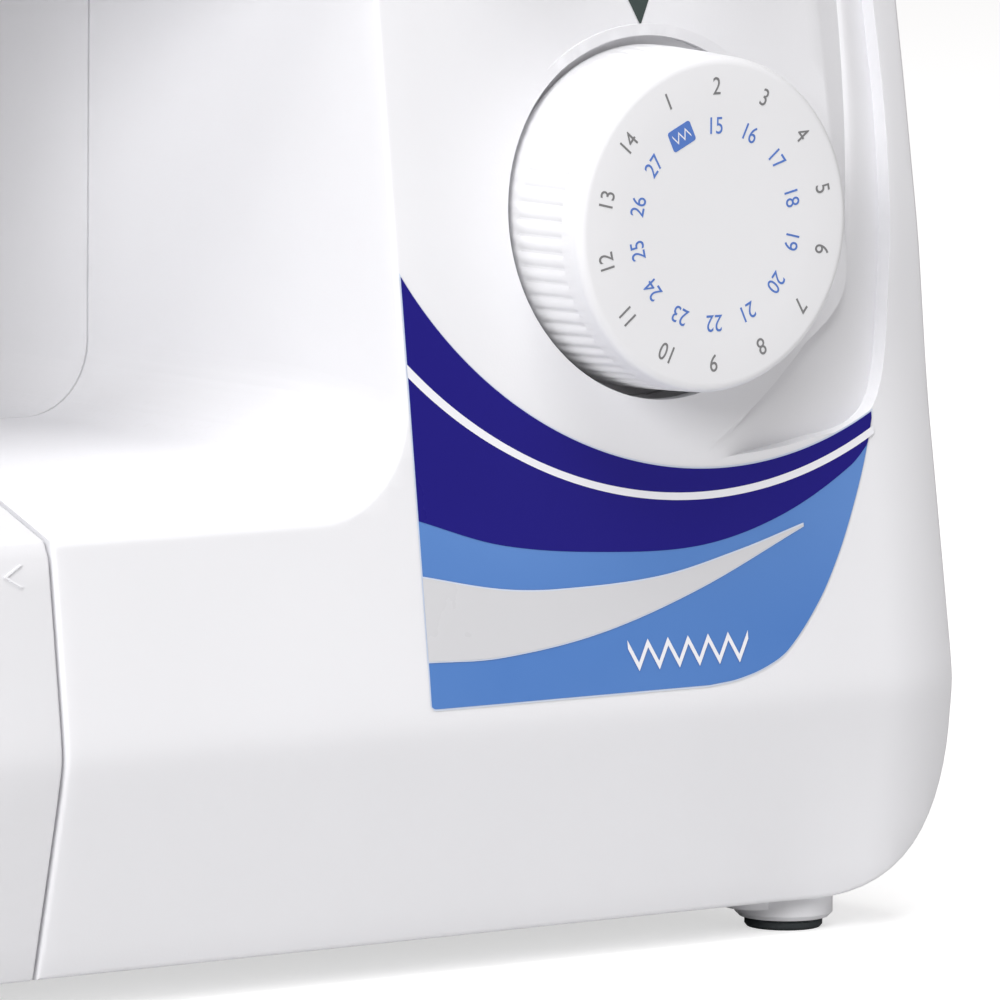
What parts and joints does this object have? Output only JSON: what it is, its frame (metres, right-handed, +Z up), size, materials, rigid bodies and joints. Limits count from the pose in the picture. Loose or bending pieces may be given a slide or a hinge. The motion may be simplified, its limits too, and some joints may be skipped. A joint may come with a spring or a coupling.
{
  "type": "sewing machine",
  "caption": "Free-arm household sewing machine with pattern and stitch dials, top bobbin hook, belt drive, folding handle and a slide-off flat-bed attachment.",
  "frame": {"origin": "on the table, under the middle of the bounding box", "axes": "+X towards the handwheel end, +Y towards the back, +Z up"},
  "size_m": [0.361, 0.1604, 0.298],
  "materials": {
    "white": "satin, slightly cool white",
    "dial_white": "satin",
    "grey": "satin",
    "label": "printed film",
    "black": "matt",
    "rubber": "matt",
    "steel": "ground",
    "casting": "cast",
    "bronze": "turned",
    "clear": "clear"
  },
  "bodies": {
    "machine": {"front_cover": "white", "rear_cover": "white", "face_cover": "white", "bottom_cover": "white", "free_arm_cover": "white", "winder_stop": "white", "thread_guide": "grey", "front_label": "label", "motor": "black", "bobbin_case": "black", "power_inlet": "black", "foot_pad_1": "rubber", "foot_pad_2": "rubber", "foot_pad_3": "rubber", "foot_pad_4": "rubber", "drive_belt": "rubber", "timing_belt": "rubber", "presser_spring": "steel", "needle_plate": "steel", "chassis": "casting", "bush_left": "bronze", "bush_right": "bronze", "lamp_lens": "clear"},
    "drive": {"arm_shaft": "steel", "crank": "casting", "handwheel": "grey"},
    "link": {"needle_link": "steel"},
    "motor_rotor": {"motor_pulley": "steel"},
    "lower_drive": {"lower_shaft": "steel"},
    "hook_rotor": {"hook": "steel"},
    "bobbin_body": {"bobbin": "clear"},
    "needle_assembly": {"needle_bar": "steel", "needle_clamp": "steel", "needle": "steel"},
    "needle_screw": {"clamp_screw": "steel"},
    "take_up": {"take_up_lever": "steel"},
    "presser": {"presser_bar": "steel", "foot_holder": "steel"},
    "sole": {"presser_foot": "steel"},
    "lifter": {"presser_lever": "grey"},
    "feed": {"feed_dog": "steel"},
    "pattern_selector": {"pattern_dial": "dial_white", "pattern_cam": "black"},
    "length_selector": {"length_dial": "dial_white"},
    "width_selector": {"width_dial": "dial_white"},
    "tension_selector": {"tension_dial": "dial_white"},
    "reverse": {"reverse_lever": "dial_white"},
    "buttonhole": {"buttonhole_lever": "grey"},
    "handle": {"carry_handle": "white"},
    "spool": {"spool_pin": "grey"},
    "winder": {"bobbin_winder": "white"},
    "attachment": {"bed_attachment": "white"},
    "lid": {"attachment_lid": "white"},
    "cover": {"bobbin_cover": "clear"},
    "switch": {"power_switch": "black"}
  },
  "joints": [
    {"name": "handwheel_turn", "type": "hinge", "parent": "machine", "child": "drive", "pos_m": [0, 0.0205, 0.232], "axis": [1, 0, 0], "continuous": true},
    {"name": "link_swing", "type": "hinge", "parent": "needle_assembly", "child": "link", "pos_m": [0, 0.0205, 0.205], "axis": [1, 0, 0], "range_deg": [-20, 20]},
    {"name": "motor_spin", "type": "hinge", "parent": "machine", "child": "motor_rotor", "pos_m": [0, -0.015, 0.048], "axis": [1, 0, 0], "continuous": true},
    {"name": "lower_shaft_turn", "type": "hinge", "parent": "machine", "child": "lower_drive", "pos_m": [0, 0.026, 0.052], "axis": [1, 0, 0], "continuous": true},
    {"name": "hook_turn", "type": "hinge", "parent": "machine", "child": "hook_rotor", "pos_m": [-0.1325, 0.005, 0], "axis": [0, 0, 1], "continuous": true},
    {"name": "bobbin_spin", "type": "hinge", "parent": "machine", "child": "bobbin_body", "pos_m": [-0.1325, 0.005, 0], "axis": [0, 0, 1], "continuous": true},
    {"name": "needle_stroke", "type": "slide", "parent": "machine", "child": "needle_assembly", "axis": [0, 0, -1], "range_m": [0, 0.03]},
    {"name": "needle_screw_turn", "type": "hinge", "parent": "needle_assembly", "child": "needle_screw", "pos_m": [-0.13, 0.0205, 0.141], "axis": [1, 0, 0], "range_deg": [-360, 360]},
    {"name": "take_up_swing", "type": "hinge", "parent": "machine", "child": "take_up", "pos_m": [0, 0.016, 0.256], "axis": [1, 0, 0], "range_deg": [0, 50]},
    {"name": "presser_drop", "type": "slide", "parent": "machine", "child": "presser", "axis": [0, 0, -1], "range_m": [0, 0.005], "deforming": ["presser_spring"]},
    {"name": "sole_rock", "type": "hinge", "parent": "presser", "child": "sole", "pos_m": [0, 0.0274, 0.1035], "axis": [1, 0, 0], "range_deg": [-3.5, 3.5]},
    {"name": "lifter_turn", "type": "hinge", "parent": "machine", "child": "lifter", "pos_m": [0, 0.0495, 0.1765], "axis": [-1, 0, 0], "range_deg": [0, 45]},
    {"name": "feed_stroke", "type": "slide", "parent": "machine", "child": "feed", "axis": [0, 1, 0], "range_m": [-0.002, 0.002]},
    {"name": "pattern_turn", "type": "hinge", "parent": "machine", "child": "pattern_selector", "pos_m": [0.0954, 0, 0.1294], "axis": [0, 1, 0], "continuous": true},
    {"name": "length_turn", "type": "hinge", "parent": "machine", "child": "length_selector", "pos_m": [0.118, 0, 0.205], "axis": [0, 1, 0], "range_deg": [0, 270]},
    {"name": "width_turn", "type": "hinge", "parent": "machine", "child": "width_selector", "pos_m": [0.072, 0, 0.205], "axis": [0, 1, 0], "range_deg": [0, 270]},
    {"name": "tension_turn", "type": "hinge", "parent": "machine", "child": "tension_selector", "pos_m": [-0.07, 0, 0.24], "axis": [0, 1, 0], "range_deg": [-150, 150]},
    {"name": "reverse_press", "type": "hinge", "parent": "machine", "child": "reverse", "pos_m": [0, -0.027, 0.228], "axis": [1, 0, 0], "range_deg": [0, 12], "stiffness_Nm_per_rad": 0.6, "springref_deg": -5.73},
    {"name": "buttonhole_pull", "type": "slide", "parent": "machine", "child": "buttonhole", "axis": [0, 0, -1], "range_m": [0, 0.03]},
    {"name": "handle_lift", "type": "hinge", "parent": "machine", "child": "handle", "pos_m": [0, 0.0375, 0.2734], "axis": [1, 0, 0], "range_deg": [0, 90]},
    {"name": "spool_pin_rise", "type": "slide", "parent": "machine", "child": "spool", "axis": [0, 0, 1], "range_m": [0, 0.03]},
    {"name": "winder_spin", "type": "hinge", "parent": "machine", "child": "winder", "pos_m": [0.106, 0.004, 0], "axis": [0, 0, 1], "continuous": true},
    {"name": "attachment_pull", "type": "slide", "parent": "machine", "child": "attachment", "axis": [-1, 0, 0], "range_m": [0, 0.13]},
    {"name": "lid_open", "type": "hinge", "parent": "attachment", "child": "lid", "pos_m": [0, -0.0242, 0.09], "axis": [-1, 0, 0], "range_deg": [0, 100]},
    {"name": "cover_slide", "type": "slide", "parent": "machine", "child": "cover", "axis": [0, -1, 0], "range_m": [0, 0.012]},
    {"name": "switch_rock", "type": "hinge", "parent": "machine", "child": "switch", "pos_m": [0.1514, 0, 0.086], "axis": [0, 1, 0], "range_deg": [-4, 4]}
  ],
  "couplings": [
    {"joint": "motor_spin", "follows": "handwheel_turn", "ratio": 3.5},
    {"joint": "lower_shaft_turn", "follows": "handwheel_turn", "ratio": 1},
    {"joint": "hook_turn", "follows": "handwheel_turn", "ratio": 2},
    {"joint": "lifter_turn", "follows": "presser_drop", "rad_per_m": 157.08}
  ]
}
